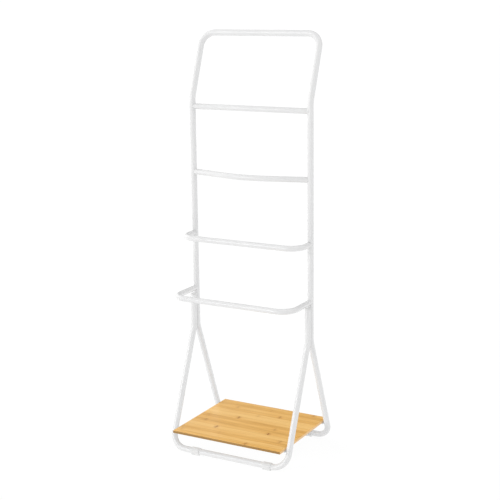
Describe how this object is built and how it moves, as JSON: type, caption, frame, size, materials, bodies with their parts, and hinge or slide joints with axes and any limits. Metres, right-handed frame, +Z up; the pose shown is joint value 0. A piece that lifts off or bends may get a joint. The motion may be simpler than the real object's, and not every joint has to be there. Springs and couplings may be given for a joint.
{
  "type": "towel stand",
  "caption": "Free-standing towel stand of bent white tube with a leaning top rail, stepped towel bars, splayed leg frames and a low bamboo shelf.",
  "frame": {"origin": "centre of the bottom face of the bounding box, on the floor", "axes": "+Z up along the uprights, -Y to the front where the bars and the deeper leg frame stand forward, +X to the right seen from the front"},
  "size_m": [0.497, 0.3864, 1.5231],
  "materials": {
    "white_powder_coat": "satin white powder coat",
    "zinc_plated_steel": "bright zinc plate",
    "white_plastic": "moulded matte white plastic",
    "bamboo": "clear lacquered laminated bamboo"
  },
  "bodies": {
    "root": {"bar_3_insert_left": "zinc_plated_steel", "bar_3_insert_right": "zinc_plated_steel", "bar_3_screw_left": "zinc_plated_steel", "bar_3_screw_right": "zinc_plated_steel", "bar_4_insert_left": "zinc_plated_steel", "bar_4_insert_right": "zinc_plated_steel", "bar_4_screw_left": "zinc_plated_steel", "bar_4_screw_right": "zinc_plated_steel", "foot_pad_front_left": "white_plastic", "foot_pad_front_right": "white_plastic", "foot_pad_rear_left": "white_plastic", "foot_pad_rear_right": "white_plastic", "front_leg_frame": "white_powder_coat", "leg_nut_left_lower": "zinc_plated_steel", "leg_nut_left_upper": "zinc_plated_steel", "leg_nut_right_lower": "zinc_plated_steel", "leg_nut_right_upper": "zinc_plated_steel", "leg_plug_left": "white_plastic", "leg_plug_right": "white_plastic", "leg_screw_left_lower": "zinc_plated_steel", "leg_screw_left_upper": "zinc_plated_steel", "leg_screw_right_lower": "zinc_plated_steel", "leg_screw_right_upper": "zinc_plated_steel", "rear_leg_frame": "white_powder_coat", "shelf_board": "bamboo", "shelf_screw_front_left": "zinc_plated_steel", "shelf_screw_front_right": "zinc_plated_steel", "shelf_screw_rear_left": "zinc_plated_steel", "shelf_screw_rear_right": "zinc_plated_steel", "shelf_tab_front_left": "white_powder_coat", "shelf_tab_front_right": "white_powder_coat", "shelf_tab_rear_left": "white_powder_coat", "shelf_tab_rear_right": "white_powder_coat", "sleeve_screw_left": "zinc_plated_steel", "sleeve_screw_right": "zinc_plated_steel", "towel_bar_1_straight": "white_powder_coat", "towel_bar_2_bowed": "white_powder_coat", "towel_bar_3_shallow": "white_powder_coat", "towel_bar_4_deep": "white_powder_coat", "upper_frame": "white_powder_coat", "upright_sleeve_left": "zinc_plated_steel", "upright_sleeve_right": "zinc_plated_steel"}
  },
  "joints": []
}
